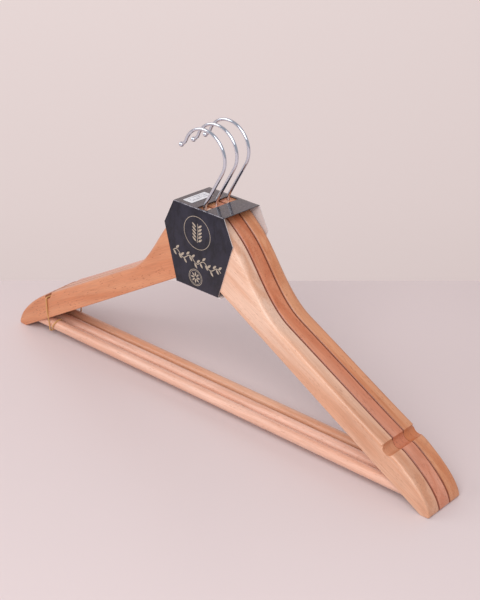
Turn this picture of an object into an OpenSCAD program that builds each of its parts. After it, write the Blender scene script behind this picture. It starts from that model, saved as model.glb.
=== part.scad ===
// Banded set of three wooden clothes hangers, each with a chrome swivel hook and a round
// trouser bar. The set stands on its arm tips. X runs along the width of the hangers, Y through
// their thickness with the front hanger at -Y, and Z is up. The origin is on the table, under
// the middle of the set.

/* [Hanger] */
// Width of a hanger over its arm tips
hanger_w = 445; // [360:1:540]
// Thickness of the beech arms
wood_t = 12.8; // [10:0.1:16]
// Height of the wooden neck above the table
wood_h = 174.6; // [165:0.1:200]
// Gap between two hangers of the set
hanger_gap = 0.3; // [0.2:0.1:2]

/* [Neck and shoulders] */
// Half width of the flat on top of the neck
crest_half = 6; // [4:0.5:8]
// Half width of the neck where its sides turn down
neck_half = 33; // [28:0.5:36]
// Drop from the top of the neck to that turn
neck_drop = 17.8; // [14:0.1:22]
// Distance from the middle to the start of the straight shoulder
shoulder_x = 80; // [70:1:95]
// Drop from the top of the neck to the top edge there
shoulder_drop = 74; // [66:0.1:84]
// Height of the wood above the arch under the neck
neck_len = 55.1; // [52:0.1:62]
// Radius of that arch
arch_r = 43.5; // [30:0.5:60]

/* [Arm ends] */
// Distance from the arm tip to the upper corner of the strap notch
notch_from_tip = 44.3; // [36:0.1:60]
// Height of the top edge at that corner
notch_top = 44.9; // [40:0.1:52]
// Radius of the strap notch
notch_r = 5.2; // [4:0.1:6]
// Depth of the notch's centre below its upper corner
notch_sink = 1.7; // [1:0.1:3]
// Radius of the rounded arm tip
tip_r = 2; // [1.5:0.5:5]
// Length of the flat foot under each tip
foot_len = 5.5; // [2:0.1:7]

/* [Trouser bar] */
// Diameter of a trouser bar
bar_d = 9.4; // [8:0.1:12]
// Height of the middle bar's axis above the table
bar_z = 9.7; // [8.5:0.1:11]
// How much lower each bar sits than the one in front of it
bar_step = 1.4; // [0:0.1:2]
// Wood left between the bar's end and the arm tip
bar_cover = 11.5; // [10:0.5:16]
// Diameter of the steel brads that hold the bar
brad_d = 1.6; // [1.2:0.1:2]
// Diameter of a brad's head
brad_head_d = 2.6; // [2:0.1:3]
// Distance from the arm tip to a brad
brad_from_tip = 18; // [15:0.5:22]

/* [Hook] */
// Diameter of the chrome wire
wire_d = 2.6; // [2.2:0.1:3.6]
// Radius of the hook's round, to the middle of the wire
hook_r = 20; // [16:0.1:24]
// Distance of the round's centre from the stem's axis, away from the open side
hook_shift = 1; // [0:0.1:3]
// Straight of the stem above the neck, below the bend
stem_rise = 0.4; // [0.2:0.1:8]
// Lean of the wire between the stem and the round
hook_lean = 30.5; // [26:0.5:34]
// Radius of the bend above the stem
stem_bend_r = 12; // [8:0.5:14]
// Angle at which the round ends and the tip turns outwards
hook_end = 158; // [145:1:165]
// Radius of the outward turn at the tip
tip_bend_r = 8; // [5:0.5:10]
// Angle of the outward turn at the tip
tip_turn = 35; // [20:1:45]
// Length of the straight before the ball
tip_straight = 2.5; // [1:0.1:4]
// Diameter of the ball on the tip
ball_d = 4.2; // [3.4:0.1:5]
// Depth of the washer's upper face below the top of the neck
hook_depth = 23.6; // [20:0.1:26]
// Running clearance around the wire
run_gap = 0.08; // [0.03:0.01:0.1]

/* [Neck joint] */
// Diameter of the beech dowels in the neck joint
dowel_d = 6; // [5:0.5:7]
// Length of a dowel
dowel_len = 28; // [20:1:36]
// Height of the lower dowel above the arch
dowel_rise = 7.5; // [6:0.5:9]
// Distance between the dowels
dowel_step = 13; // [10:0.5:14]
// Diameter of the steel washer
washer_d = 8; // [7:0.1:9]
// Thickness of the washer
washer_t = 1; // [0.8:0.1:1.5]
// Diameter of the riveted head on the wire's lower end
rivet_d = 5; // [4.4:0.1:5.6]

/* [Card sleeve] */
// Thickness of the card
card_t = 0.5; // [0.4:0.05:0.8]
// Clearance between the card and the wood
card_gap = 0.1; // [0.05:0.05:0.3]
// Half width of the sleeve at its top fold
sleeve_top_half = 25.7; // [22:0.1:30]
// Half width of the sleeve at its widest
sleeve_mid_half = 35.3; // [32:0.1:40]
// Half width of the front and back panels at the bottom
sleeve_low_half = 21.7; // [18:0.1:23]
// Half width of the bottom panel
sleeve_floor_half = 24.5; // [20:0.5:28]
// How far the bottom fold hangs to the left of the top fold
sleeve_lean = 3; // [0:0.1:4]
// Height of the front fold above the neck
sleeve_head = 3.4; // [2:0.1:6]
// Drop of the top panel from its front fold to its back fold
sleeve_slope_drop = 2.6; // [0:0.1:2.8]
// Drop from the front fold to the widest point
sleeve_mid_drop = 21; // [16:0.5:26]
// Free space between the bottom panel and the arms
sleeve_floor_gap = 0.5; // [0.3:0.1:5]
// Width of the hook slot
slot_w = 9.5; // [7:0.1:12]
// Offset of the slot's middle from the hooks
slot_shift = 1.75; // [0:0.05:2]
// Card left between the slot and the front fold
slot_edge = 1.7; // [1:0.1:3]
// Free length of the slot behind the back hook
slot_over = 2.8; // [2:0.1:5]

/* [Label] */
// Width of the paper label
label_w = 9.5; // [6:0.5:12]
// Length of the paper label
label_l = 24; // [15:1:30]
// Distance from the middle of the sleeve to the label's middle
label_x = 16.2; // [14:0.1:18]
// Distance of the label's middle in front of the middle hanger
label_y = 3; // [0:0.5:6]
// Thickness of the paper
label_t = 0.2; // [0.15:0.05:0.4]

/* [Elastic] */
// Diameter of the elastic cord
elastic_d = 1.2; // [0.8:0.1:1.6]
// How far the elastic's small turn, round the front bar, drifts along that bar
elastic_spread = 5; // [3:0.5:8]
// Clearance between the elastic and the wood
elastic_gap = 0.1; // [0.05:0.05:0.3]

/* [Hidden] */
$fn = 96;
eps = 0.01;

half_w = hanger_w / 2;
arch_h = wood_h - neck_len;
shoulder_z = wood_h - shoulder_drop;
pitch = wood_t + hanger_gap;
front_y = -pitch;
back_y = pitch;
wood_face = pitch + wood_t / 2;
cut_over = 2;
curve_steps = 16;
arc_steps = 8;
bend_steps = 5;
round_steps = 30;

// Colours of the wood, the metal, the card and the elastic
front_beech = [0.88, 0.68, 0.55];
middle_beech = [0.85, 0.62, 0.52];
back_beech = [0.87, 0.65, 0.49];
bar_beech = [0.91, 0.74, 0.63];
dowel_beech = [0.80, 0.62, 0.46];
chrome = [0.78, 0.80, 0.83];
zinc = [0.60, 0.61, 0.62];
navy_card = [0.21, 0.20, 0.27];
paper = [0.93, 0.93, 0.92];
amber = [0.85, 0.65, 0.25];

// Outline of the wood. Angles are in degrees, measured from the +X direction.
neck_angle = -46.5;
shoulder_angle = -29.2;
end_angle = -28.5;
tip_angle = -80;
crest_reach = 8;
neck_reach_in = 9;
neck_reach_out = 20;
shoulder_reach_in = 25;
shoulder_reach_out = 34;
notch_reach_in = 32;
notch_reach_out = 24;
tip_reach = 14;
notch_corner_x = half_w - notch_from_tip;
notch_x = notch_corner_x + notch_r;
notch_z = notch_top - notch_sink;
notch_floor_z = notch_z - notch_r;
foot_in = half_w - tip_r - foot_len;

// The straight underside leaves the foot's inner edge and touches the arch.
arch_z = arch_h - arch_r;
foot_reach = sqrt(foot_in * foot_in + arch_z * arch_z);
touch_angle = acos(arch_r / foot_reach) - atan2(arch_z, foot_in);
touch = [arch_r * cos(touch_angle), arch_z + arch_r * sin(touch_angle)];
function under_z(x) = touch[1] * (foot_in - x) / (foot_in - touch[0]);

// A curve from p to q that leaves p at angle a and reaches q at angle b. The point q is left to
// whatever follows.
function curve(p, a, reach_p, q, b, reach_q) = [
  for (i = [0 : curve_steps - 1])
    let (
      t = i / curve_steps,
      c = p + reach_p * [cos(a), sin(a)],
      d = q - reach_q * [cos(b), sin(b)]
    )
    pow(1 - t, 3) * p + 3 * t * pow(1 - t, 2) * c + 3 * t * t * (1 - t) * d + pow(t, 3) * q
];

// Points on an arc about a centre, from angle a to angle b
function arc(centre, r, a, b, steps = arc_steps) = [
  for (i = [0 : steps])
    let (v = a + (b - a) * i / steps)
    centre + r * [cos(v), sin(v)]
];

function without_first(list) = [for (i = [1 : len(list) - 1]) list[i]];

crest = [crest_half, wood_h];
neck = [neck_half, wood_h - neck_drop];
shoulder = [shoulder_x, shoulder_z];
notch_corner = [notch_corner_x, notch_top];
tip = [half_w, tip_r];
arm_outline = concat(
  [[0, wood_h]],
  curve(crest, 0, crest_reach, neck, neck_angle, neck_reach_in),
  curve(neck, neck_angle, neck_reach_out, shoulder, shoulder_angle, shoulder_reach_in),
  curve(shoulder, shoulder_angle, shoulder_reach_out, notch_corner, end_angle, notch_reach_in),
  curve(notch_corner, end_angle, notch_reach_out, tip, tip_angle, tip_reach),
  arc([half_w - tip_r, tip_r], tip_r, 0, -90),
  [[foot_in, 0]],
  arc([0, arch_z], arch_r, touch_angle, 90)
);

// Hook and its seat in the neck
shank_r = wire_d / 2;
bore_r = shank_r + run_gap;
washer_top = wood_h - hook_depth;
washer_z = washer_top - washer_t;
washer_bore_r = bore_r + 0.1;
rivet_t = 1.5;
rivet_gap = 0.05;
rivet_top = washer_z - rivet_gap;
pocket_gap = 0.3;
pocket_room = 1;
pocket_r = washer_d / 2 + pocket_gap;
pocket_z = rivet_top - rivet_t - pocket_room;

// The wire bends above the stem, leans on a straight that touches the round, and goes round.
stem_top = wood_h + stem_rise;
lean_foot_z = stem_top + stem_bend_r * tan(hook_lean / 2);
hook_z = lean_foot_z + (hook_r + hook_shift * cos(hook_lean)) / sin(hook_lean);
round_centre = [hook_shift, hook_z];
round_end = round_centre + hook_r * [cos(hook_end), sin(hook_end)];
tip_centre = round_end + tip_bend_r * [cos(hook_end), sin(hook_end)];
tip_end = hook_end + 180 - tip_turn;
ball = tip_centre + tip_bend_r * [cos(tip_end), sin(tip_end)]
  + tip_straight * [sin(tip_end), -cos(tip_end)];
stem_lap = 0.3;
wire_sides = 12;
wire_path = concat(
  [[0, stem_top - stem_lap]],
  arc([stem_bend_r, stem_top], stem_bend_r, 180, 180 - hook_lean, bend_steps),
  arc(round_centre, hook_r, -hook_lean, hook_end, round_steps),
  without_first(arc(tip_centre, tip_bend_r, hook_end + 180, tip_end, bend_steps)),
  [ball]
);

// Bar and brads
front_bar_z = bar_z + bar_step;
back_bar_z = bar_z - bar_step;
bar_half = half_w - bar_cover;
brad_x = half_w - brad_from_tip;
brad_cover = 2.5;
brad_len = wood_t - brad_cover;
brad_head_t = 0.7;

// Neck dowels
dowel_z = arch_h + dowel_rise;

// Card sleeve
sleeve_in = wood_face + card_gap;
sleeve_out = sleeve_in + card_t;
sleeve_front_z = wood_h + sleeve_head;
sleeve_back_z = sleeve_front_z - sleeve_slope_drop;
sleeve_mid_z = sleeve_front_z - sleeve_mid_drop;
sleeve_floor_z = under_z(sleeve_floor_half + sleeve_lean) - sleeve_floor_gap - card_t;
sleeve_slope = atan2(sleeve_slope_drop, 2 * sleeve_out);
slot_front = -sleeve_out + slot_edge;
slot_back = back_y + shank_r + slot_over;
sleeve_height = sleeve_front_z - sleeve_floor_z;
sleeve_mid_x = -sleeve_lean * sleeve_mid_drop / sleeve_height;

// Elastic cord: its long turn goes round the arms and the bars, its small turn round the front
// bar only.
elastic_r = elastic_d / 2;
elastic_off = elastic_r + elastic_gap;
elastic_x = -notch_x;
elastic_face = wood_face + elastic_off;
elastic_top = notch_floor_z + elastic_off;
elastic_sides = 8;
corner_cut = 0.8;
bar_wrap = bar_d / 2 + elastic_off;
wrap_side = bar_wrap * tan(45 / 2);
bar_fall = atan2(bar_step, pitch);

// One half of a hanger's wood, as a plain blank
module arm_blank() {
  rotate([90, 0, 0])
    linear_extrude(height = wood_t, center = true)
      polygon(arm_outline);
}

// Strap notch across the top of an arm
module notch_cut() {
  translate([notch_x, 0, notch_z])
    rotate([90, 0, 0])
      cylinder(r = notch_r, h = wood_t + cut_over, center = true);
  translate([notch_x - notch_r, -wood_t / 2 - cut_over / 2, notch_z])
    cube([2 * notch_r, wood_t + cut_over, notch_r + cut_over]);
}

// Bore for the hook's shank, with the pocket for its washer and riveted head
module hook_seat() {
  translate([0, 0, washer_top - eps])
    cylinder(r = bore_r, h = hook_depth + cut_over);
  translate([0, 0, pocket_z])
    cylinder(r = pocket_r, h = washer_top - pocket_z);
}

// The two dowels of the neck joint, which are also the shape of their holes
module neck_dowel_pair() {
  for (i = [0, 1])
    translate([0, 0, dowel_z + i * dowel_step])
      rotate([0, 90, 0])
        cylinder(d = dowel_d, h = dowel_len, center = true);
}

// The round bar before its brad holes are drilled
module bar_blank(axis_z) {
  translate([0, 0, axis_z])
    rotate([0, 90, 0])
      cylinder(d = bar_d, h = 2 * bar_half, center = true);
}

// A brad, driven in from the back face, its head flush
module brad(axis_z) {
  translate([brad_x, wood_t / 2, axis_z])
    rotate([90, 0, 0]) {
      cylinder(d = brad_d, h = brad_len);
      cylinder(d = brad_head_d, h = brad_head_t);
    }
}

module brad_pair(axis_z) {
  brad(axis_z);
  mirror([1, 0, 0]) brad(axis_z);
}

module right_arm(axis_z) {
  difference() {
    arm_blank();
    notch_cut();
    hook_seat();
    neck_dowel_pair();
    bar_blank(axis_z);
    brad(axis_z);
  }
}

module left_arm(axis_z) {
  mirror([1, 0, 0]) right_arm(axis_z);
}

module trouser_bar(axis_z) {
  difference() {
    bar_blank(axis_z);
    brad_pair(axis_z);
  }
}

module hook_washer() {
  translate([0, 0, washer_z])
    difference() {
      cylinder(d = washer_d, h = washer_t);
      translate([0, 0, -cut_over])
        cylinder(r = washer_bore_r, h = washer_t + 2 * cut_over);
    }
}

function unit(v) = v / norm(v);

// A round tube along a path that lies in one plane, whose normal is given. The tube's flats
// touch its stated radius from outside.
module tube(path, normal, r, sides, closed) {
  count = len(path);
  rings = [
    for (i = [0 : count - 1])
      let (
        last = !closed && i == count - 1,
        first = !closed && i == 0,
        ahead = last ? unit(path[i] - path[i - 1]) : unit(path[(i + 1) % count] - path[i]),
        behind = first ? ahead : unit(path[i] - path[(i + count - 1) % count]),
        along = unit(ahead + behind),
        stretch = 1 / (along * ahead)
      )
      for (k = [0 : sides - 1])
        let (v = 360 * k / sides)
        path[i] + r / cos(180 / sides)
          * (cos(v) * normal + sin(v) * stretch * cross(along, normal))
  ];
  joins = closed ? count : count - 1;
  walls = [
    for (i = [0 : joins - 1], k = [0 : sides - 1])
      let (j = (i + 1) % count, m = (k + 1) % sides)
      [i * sides + k, j * sides + k, j * sides + m, i * sides + m]
  ];
  first_cap = [for (k = [0 : sides - 1]) k];
  last_cap = [for (k = [sides - 1 : -1 : 0]) (count - 1) * sides + k];
  polyhedron(points = rings, faces = closed ? walls : concat(walls, [first_cap, last_cap]));
}

// The riveted shank is a true cylinder, which the bent wire above the neck carries on.
module hook() {
  translate([0, 0, rivet_top - rivet_t])
    cylinder(d = rivet_d, h = rivet_t);
  translate([0, 0, rivet_top - rivet_t / 2])
    cylinder(r = shank_r, h = stem_top - rivet_top + rivet_t / 2);
  tube([for (p = wire_path) [p[0], 0, p[1]]], [0, 1, 0], shank_r, wire_sides, false);
  translate([ball[0], 0, ball[1]])
    sphere(d = ball_d, $fn = 48);
}

// A face of the sleeve, with its top fold at the given height. It leans to the left downwards.
module sleeve_panel(top_z) {
  rotate([90, 0, 0])
    linear_extrude(height = card_t)
      polygon([
        [-sleeve_top_half, top_z], [sleeve_top_half, top_z],
        [sleeve_mid_x + sleeve_mid_half, sleeve_mid_z],
        [sleeve_low_half - sleeve_lean, sleeve_floor_z],
        [-sleeve_low_half - sleeve_lean, sleeve_floor_z],
        [sleeve_mid_x - sleeve_mid_half, sleeve_mid_z]
      ]);
}

// The sleeve's top panel in side view, which slopes down to the back
module sleeve_lid() {
  rotate([90, 0, 90])
    linear_extrude(height = 2 * sleeve_top_half, center = true)
      polygon([
        [-sleeve_out, sleeve_front_z], [-sleeve_out, sleeve_front_z - card_t],
        [sleeve_out, sleeve_back_z - card_t], [sleeve_out, sleeve_back_z]
      ]);
}

module sleeve() {
  difference() {
    union() {
      translate([0, -sleeve_in, 0]) sleeve_panel(sleeve_front_z);
      translate([0, sleeve_out, 0]) sleeve_panel(sleeve_back_z);
      sleeve_lid();
      translate([-sleeve_floor_half - sleeve_lean, -sleeve_out, sleeve_floor_z])
        cube([2 * sleeve_floor_half, 2 * sleeve_out, card_t]);
    }
    translate([slot_shift - slot_w / 2, slot_front, sleeve_back_z - card_t - cut_over])
      cube([slot_w, slot_back - slot_front, sleeve_slope_drop + card_t + 2 * cut_over]);
  }
}

// A ring of points with each corner cut to two
function cut_corners(points, cut) = [
  for (i = [0 : len(points) - 1])
    let (
      p = points[i],
      before = points[(i + len(points) - 1) % len(points)],
      after = points[(i + 1) % len(points)]
    )
    each [p + cut * unit(before - p), p + cut * unit(after - p)]
];

// A distance from a bar's axis as [y, z], turned to follow the line through the bars' axes
function along_bars(p) = [
  p[0] * cos(bar_fall) + p[1] * sin(bar_fall),
  p[1] * cos(bar_fall) - p[0] * sin(bar_fall)
];

// Half of the way round a bar, from below to above, as [y, z]. The side is -1 for the half that
// faces the front and 1 for the other.
function half_turn(axis, side) = [
  for (p = [
    [side * wrap_side, -bar_wrap], [side * bar_wrap, -wrap_side],
    [side * bar_wrap, wrap_side], [side * wrap_side, bar_wrap]
  ])
  axis + along_bars(p)
];

// Half of the long turn: below the bars, up past the arm's lower edge, which it clears before it
// reaches it, and over into the notch
function long_half_turn(side) = [
  half_turn([side * back_y, bar_z - side * bar_step], side)[0],
  half_turn([side * back_y, bar_z - side * bar_step], side)[1],
  [side * elastic_face, under_z(notch_x) - 2 * elastic_d],
  [side * elastic_face, elastic_top]
];

function backwards(list) = [for (i = [len(list) - 1 : -1 : 0]) list[i]];
function ring_of(half_a, half_b) = cut_corners(concat(half_a, backwards(half_b)), corner_cut);

module elastic_turns() {
  front_axis = [front_y, front_bar_z];
  long_turn = ring_of(long_half_turn(-1), long_half_turn(1));
  small_turn = ring_of(half_turn(front_axis, -1), half_turn(front_axis, 1));
  low = min([for (p = small_turn) p[1]]);
  rise = max([for (p = small_turn) p[1]]) - low;
  small_x = elastic_x + elastic_d + elastic_gap;
  tube([for (p = long_turn) [elastic_x, p[0], p[1]]], [1, 0, 0],
    elastic_r, elastic_sides, true);
  tube([for (p = small_turn) [small_x + elastic_spread * (p[1] - low) / rise, p[0], p[1]]],
    unit([rise, 0, -elastic_spread]), elastic_r, elastic_sides, true);
}

module front_left_arm() {
  color(front_beech) translate([0, front_y, 0]) left_arm(front_bar_z);
}
module front_right_arm() {
  color(front_beech) translate([0, front_y, 0]) right_arm(front_bar_z);
}
module front_neck_dowels() {
  color(dowel_beech) translate([0, front_y, 0]) neck_dowel_pair();
}
module front_hook() {
  color(chrome) translate([0, front_y, 0]) hook();
}
module front_hook_washer() {
  color(zinc) translate([0, front_y, 0]) hook_washer();
}
module front_trouser_bar() {
  color(bar_beech) translate([0, front_y, 0]) trouser_bar(front_bar_z);
}
module front_bar_brads() {
  color(zinc) translate([0, front_y, 0]) brad_pair(front_bar_z);
}
module middle_left_arm() {
  color(middle_beech) left_arm(bar_z);
}
module middle_right_arm() {
  color(middle_beech) right_arm(bar_z);
}
module middle_neck_dowels() {
  color(dowel_beech) neck_dowel_pair();
}
module middle_hook() {
  color(chrome) hook();
}
module middle_hook_washer() {
  color(zinc) hook_washer();
}
module middle_trouser_bar() {
  color(bar_beech) trouser_bar(bar_z);
}
module middle_bar_brads() {
  color(zinc) brad_pair(bar_z);
}
module back_left_arm() {
  color(back_beech) translate([0, back_y, 0]) left_arm(back_bar_z);
}
module back_right_arm() {
  color(back_beech) translate([0, back_y, 0]) right_arm(back_bar_z);
}
module back_neck_dowels() {
  color(dowel_beech) translate([0, back_y, 0]) neck_dowel_pair();
}
module back_hook() {
  color(chrome) translate([0, back_y, 0]) hook();
}
module back_hook_washer() {
  color(zinc) translate([0, back_y, 0]) hook_washer();
}
module back_trouser_bar() {
  color(bar_beech) translate([0, back_y, 0]) trouser_bar(back_bar_z);
}
module back_bar_brads() {
  color(zinc) translate([0, back_y, 0]) brad_pair(back_bar_z);
}
module card_sleeve() {
  color(navy_card) sleeve();
}
module price_label() {
  color(paper)
    translate([0, -sleeve_out, sleeve_front_z])
      rotate([-sleeve_slope, 0, 0])
        translate([-label_x - label_w / 2, sleeve_out - label_y - label_l / 2, eps])
          cube([label_w, label_l, label_t]);
}
module elastic_band() {
  color(amber) elastic_turns();
}

front_left_arm();
front_right_arm();
front_neck_dowels();
front_hook();
front_hook_washer();
front_trouser_bar();
front_bar_brads();
middle_left_arm();
middle_right_arm();
middle_neck_dowels();
middle_hook();
middle_hook_washer();
middle_trouser_bar();
middle_bar_brads();
back_left_arm();
back_right_arm();
back_neck_dowels();
back_hook();
back_hook_washer();
back_trouser_bar();
back_bar_brads();
card_sleeve();
price_label();
elastic_band();
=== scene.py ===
"""Looks of a banded set of three wooden clothes hangers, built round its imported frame.

Everything is in metres, in the set's own frame: X runs along the hangers, Y through their
thickness from the front hanger to the back one, and Z is up.
"""

import math

import bmesh
import bpy
from bpy.props import FloatProperty, FloatVectorProperty, PointerProperty
from mathutils import Matrix, Vector


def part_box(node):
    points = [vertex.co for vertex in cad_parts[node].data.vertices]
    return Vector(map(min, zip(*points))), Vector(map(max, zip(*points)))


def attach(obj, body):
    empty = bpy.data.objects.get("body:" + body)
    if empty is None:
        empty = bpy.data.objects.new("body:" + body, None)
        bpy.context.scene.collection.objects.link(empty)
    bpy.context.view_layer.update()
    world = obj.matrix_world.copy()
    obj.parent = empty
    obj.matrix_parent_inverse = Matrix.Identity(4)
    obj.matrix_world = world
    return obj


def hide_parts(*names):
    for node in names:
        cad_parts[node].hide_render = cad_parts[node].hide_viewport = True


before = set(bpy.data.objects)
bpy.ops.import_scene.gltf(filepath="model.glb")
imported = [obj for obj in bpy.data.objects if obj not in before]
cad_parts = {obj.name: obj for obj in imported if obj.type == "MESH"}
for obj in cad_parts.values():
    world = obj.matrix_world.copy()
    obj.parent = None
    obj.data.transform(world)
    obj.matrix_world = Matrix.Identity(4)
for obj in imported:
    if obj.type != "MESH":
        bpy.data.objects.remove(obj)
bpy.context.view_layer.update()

bl_info = {
    "name": "Wooden Hanger Set",
    "version": (1, 0, 0),
    "blender": (4, 5, 0),
    "location": "3D View > Sidebar > Hangers",
    "description": "Rounded beech arms, chrome hooks, card sleeve and elastic for a hanger set",
    "category": "Add Mesh",
}

MM = 0.001
HANGERS = ("front", "middle", "back")
SIDES = {"left": -1, "right": 1}
SET_BODY = "hanger_set"


# ---------------------------------------------------------------- what the frame says

def middle_of(node):
    """Centre of a frame node's box"""
    low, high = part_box(node)
    return (low + high) / 2


def hanger_y(hanger):
    """Place of a hanger's middle plane"""
    return middle_of(f"{hanger}_trouser_bar").y


WOOD_LOW, WOOD_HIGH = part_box("middle_right_arm")
WOOD_T = WOOD_HIGH.y - WOOD_LOW.y
HALF_W = WOOD_HIGH.x
CARD_LOW, CARD_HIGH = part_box("card_sleeve")


# ---------------------------------------------------------------- sizes and colours

def length(name, description, default_mm):
    """A length in metres, given in millimetres"""
    return FloatProperty(name=name, description=description, default=default_mm * MM,
                         min=0.0, unit="LENGTH", precision=5)


def colour(name, description, default):
    """A linear colour"""
    return FloatVectorProperty(name=name, description=description, default=default,
                               subtype="COLOR", size=3, min=0.0, max=1.0)


class WoodSettings(bpy.types.PropertyGroup):
    """Roundings and tones of the beech arms and bars"""

    neck_round: length("Neck Rounding", "Rounding of the top edges beside the neck", 4.6)
    end_round: length("End Rounding", "Rounding of the top edges near the strap notch", 2.4)
    tip_round: length("Tip Rounding", "Rounding of the top edges at the arm tip", 1.2)
    seam_share: FloatProperty(name="Seam Share", description="Share of the rounding on the edges "
                              "between two hangers", default=0.45, min=0.0, max=1.0)
    under_round: length("Underside Rounding", "Rounding of the lower edges", 0.8)
    pale: colour("Pale Wood", "Palest beech, on the front right arm", (0.76, 0.49, 0.36))
    tan: colour("Tan Wood", "Beech of the front right arm's tip", (0.67, 0.37, 0.24))
    red: colour("Red Wood", "Reddest beech, on the front left arm", (0.62, 0.26, 0.13))
    pink: colour("Pink Wood", "Beech of the middle hanger's tips", (0.66, 0.29, 0.19))
    brown: colour("Brown Wood", "Beech beside the middle hanger's neck", (0.60, 0.22, 0.11))
    golden: colour("Golden Wood", "Beech of the back hanger", (0.64, 0.29, 0.15))
    rosy: colour("Rosy Wood", "Beech of the front trouser bar", (0.76, 0.46, 0.35))


class HookSettings(bpy.types.PropertyGroup):
    """Sizes of the bent wire hooks"""

    wire: length("Wire", "Diameter of the wire", 2.6)
    rivet: length("Rivet", "Diameter of the riveted end", 5.0)
    rivet_t: length("Rivet Thickness", "Thickness of the riveted end", 1.5)
    stem_bend: length("Stem Bend", "Radius of the bend above the stem", 12.0)
    shift: length("Round Offset", "Distance of the round's centre from the stem", 1.0)
    tip_bend: length("Tip Bend", "Radius of the outward turn at the tip", 8.0)
    tip_straight: length("Tip Straight", "Length of the straight before the ball", 2.5)
    ball: length("Ball", "Diameter of the ball on the tip", 4.2)
    lean: FloatProperty(name="Lean", description="Lean of the wire below the round",
                        default=math.radians(30.5), subtype="ANGLE")
    round_end: FloatProperty(name="Round End", description="Angle at which the round ends",
                             default=math.radians(158), subtype="ANGLE")
    tip_turn: FloatProperty(name="Tip Turn", description="Angle of the turn at the tip",
                            default=math.radians(35), subtype="ANGLE")


class CardSettings(bpy.types.PropertyGroup):
    """Sizes and colours of the printed card sleeve and its label"""

    thickness: length("Card", "Thickness of the card", 0.5)
    fold: length("Fold", "Radius of a fold", 0.45)
    top_half: length("Top Half Width", "Half width of the top fold", 25.7)
    low_half: length("Low Half Width", "Half width of the panels at the bottom", 21.7)
    floor_half: length("Bottom Half Width", "Half width of the bottom panel", 24.5)
    lean: length("Lean", "How far the bottom fold hangs to the left of the top fold", 3.0)
    mid_drop: length("Shoulder Drop", "Drop from the front fold to the widest point", 21.0)
    slope_drop: length("Top Slope", "Drop of the top panel from front to back", 2.6)
    slot_w: length("Slot Width", "Width of the slot for the hooks", 9.5)
    slot_shift: length("Slot Offset", "Distance of the slot's middle from the hooks", 1.75)
    slot_edge: length("Slot Edge", "Card between the slot and the front fold", 1.7)
    slot_over: length("Slot Overrun", "Free slot behind the back hook's wire", 2.8)
    foil_t: length("Foil", "Thickness of the printed foil", 0.03)
    ink: colour("Ink", "Navy ink of the card", (0.013, 0.012, 0.024))
    core: colour("Card Core", "Unprinted card", (0.72, 0.64, 0.62))
    foil: colour("Foil", "Pale gold print", (0.50, 0.42, 0.33))
    paper: colour("Paper", "Label paper", (0.78, 0.78, 0.80))


class ElasticSettings(bpy.types.PropertyGroup):
    """Size and colour of the elastic cord"""

    diameter: length("Diameter", "Diameter of the elastic", 1.2)
    clearance: length("Clearance", "Free space between the elastic and the wood", 0.1)
    spread: length("Spread", "How far the small turn drifts along the front bar", 5.0)
    amber: colour("Amber", "Colour of the elastic's cover", (0.68, 0.36, 0.13))


class StageSettings(bpy.types.PropertyGroup):
    """Floor, backdrop and light"""

    floor: colour("Floor", "Colour of the table", (0.69, 0.59, 0.585))
    backdrop: colour("Backdrop", "Colour of the backdrop", (0.84, 0.74, 0.73))
    glow: colour("Glow", "Light that the backdrop adds of its own", (0.20, 0.145, 0.115))
    key_power: FloatProperty(name="Key", description="Power of the main light",
                             default=26.0, min=0.0, unit="POWER")
    fill_power: FloatProperty(name="Fill", description="Power of the fill light",
                              default=10.0, min=0.0, unit="POWER")


class HangerSettings(bpy.types.PropertyGroup):
    """All settings of the hanger set"""

    wood: PointerProperty(type=WoodSettings)
    hook: PointerProperty(type=HookSettings)
    card: PointerProperty(type=CardSettings)
    elastic: PointerProperty(type=ElasticSettings)
    stage: PointerProperty(type=StageSettings)


# ---------------------------------------------------------------- modelling helpers

def select_only(*pieces):
    """Selects these objects in object mode, and makes the first one active"""
    if bpy.context.object and bpy.context.object.mode != "OBJECT":
        bpy.ops.object.mode_set(mode="OBJECT")
    bpy.ops.object.select_all(action="DESELECT")
    for piece in pieces:
        piece.select_set(True)
    bpy.context.view_layer.objects.active = pieces[0]


def edit(piece):
    """Enters edit mode on one piece, with nothing selected in it"""
    select_only(piece)
    bpy.ops.object.mode_set(mode="EDIT")
    bpy.ops.mesh.select_all(action="DESELECT")


def leave_edit():
    """Goes back to object mode"""
    bpy.ops.object.mode_set(mode="OBJECT")


def pick(piece, kind, test):
    """In edit mode, selects just the faces, edges or verts for which test is true"""
    bpy.ops.mesh.select_mode(type={"faces": "FACE", "edges": "EDGE", "verts": "VERT"}[kind])
    bpy.ops.mesh.select_all(action="DESELECT")
    shape = bmesh.from_edit_mesh(piece.data)
    found = [item for item in getattr(shape, kind) if test(item)]
    if not found:
        raise RuntimeError(f"{piece.name}: nothing was found to select among its {kind}")
    for item in found:
        item.select_set(True)
    shape.select_flush_mode()
    bmesh.update_edit_mesh(piece.data)


def name_new(name):
    """Names the primitive that was just added, and its mesh"""
    piece = bpy.context.object
    piece.name = name
    piece.data.name = name
    return piece


def add_object(name, data):
    """A new object in the scene, with the given data"""
    item = bpy.data.objects.new(name, data)
    bpy.context.scene.collection.objects.link(item)
    return item


def pull(shift):
    """Extrudes what is selected along a shift"""
    bpy.ops.mesh.extrude_region_move(TRANSFORM_OT_translate={"value": tuple(shift)})


def bake_place(piece):
    """Moves an object's place, turn and scale into its mesh"""
    select_only(piece)
    bpy.ops.object.transform_apply(location=True, rotation=True, scale=True)


def finish_with(piece, kind, **settings):
    """Adds a modifier and applies it"""
    modifier = piece.modifiers.new(kind, kind)
    for key, value in settings.items():
        setattr(modifier, key, value)
    select_only(piece)
    bpy.ops.object.modifier_apply(modifier=modifier.name)


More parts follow.
